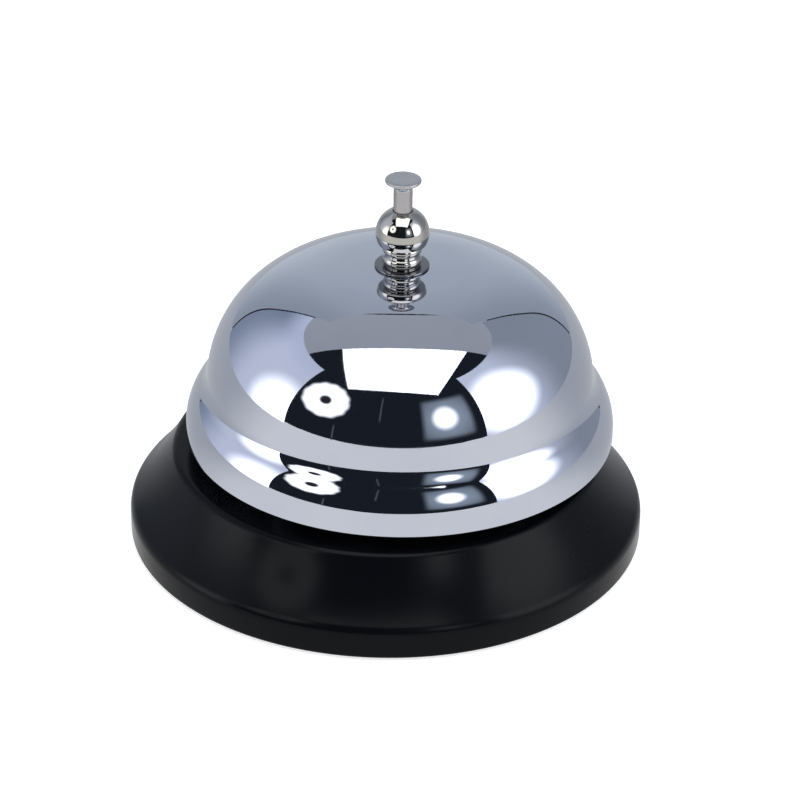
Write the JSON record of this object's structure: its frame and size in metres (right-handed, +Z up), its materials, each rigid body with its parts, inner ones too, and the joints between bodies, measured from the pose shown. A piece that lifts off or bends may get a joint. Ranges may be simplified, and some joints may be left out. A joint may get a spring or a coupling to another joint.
{
  "type": "service bell",
  "caption": "Desk bell with a chromed gong on a flared base, rung by a sprung push button that swings an inner hammer.",
  "frame": {"origin": "centre of the face that the bell stands on", "axes": "+Z up along the plunger, +X towards the side where the hammer strikes; the axis of the gong and of the plunger is at X = 2.1 mm"},
  "size_m": [0.085, 0.085, 0.064],
  "materials": {
    "black_enamel": "black stove enamel, high gloss",
    "zinc_steel": "zinc-plated steel",
    "foot_rubber": "matte black rubber",
    "turned_brass": "turned brass",
    "pin_steel": "ground and nickel-plated steel",
    "clip_steel": "dark spring steel",
    "red_fibre": "vulcanised fibre",
    "mirror_chrome": "mirror chrome plate",
    "nickel_plate": "bright nickel plate",
    "black_washer": "black oxide on steel",
    "satin_nickel": "satin nickel plate",
    "spring_wire": "drawn spring wire"
  },
  "bodies": {
    "frame": {"base_shell": "black_enamel", "bottom_plate": "zinc_steel", "foot_ring": "foot_rubber", "pillar": "turned_brass", "pillar_washer": "zinc_steel", "pillar_nut": "zinc_steel", "spring_seat": "turned_brass", "pivot_bracket": "zinc_steel", "pivot_pin": "pin_steel", "pivot_pin_clip": "clip_steel", "gong_washer": "red_fibre", "gong": "mirror_chrome", "finial_washer": "black_washer", "finial_nut": "nickel_plate"},
    "plunger": {"plunger_rod": "pin_steel", "plunger_button": "satin_nickel", "stop_clip": "clip_steel", "spring_clip": "clip_steel", "plunger_spring": "spring_wire"},
    "rocker": {"rocker": "zinc_steel", "rocker_bush": "turned_brass", "hammer_pin": "pin_steel", "hammer_pin_clip": "clip_steel"},
    "hammer": {"hammer_arm": "zinc_steel", "hammer_head": "turned_brass", "hammer_nut": "zinc_steel"}
  },
  "joints": [
    {"name": "plunger_slide", "type": "slide", "parent": "frame", "child": "plunger", "axis": [0, 0, -1], "range_m": [0, 0.0035], "stiffness_N_per_m": 300, "springref_m": -0.003, "deforming": ["plunger_spring"]},
    {"name": "rocker_pivot", "type": "hinge", "parent": "frame", "child": "rocker", "pos_m": [0.0101, 0, 0.0406], "axis": [0, -1, 0], "range_deg": [0, 25.1]},
    {"name": "hammer_flick", "type": "hinge", "parent": "rocker", "child": "hammer", "pos_m": [0.0151, 0, 0.0376], "axis": [0, -1, 0], "range_deg": [0, 5]}
  ],
  "couplings": [
    {"joint": "rocker_pivot", "follows": "plunger_slide", "rad_per_m": 125}
  ]
}
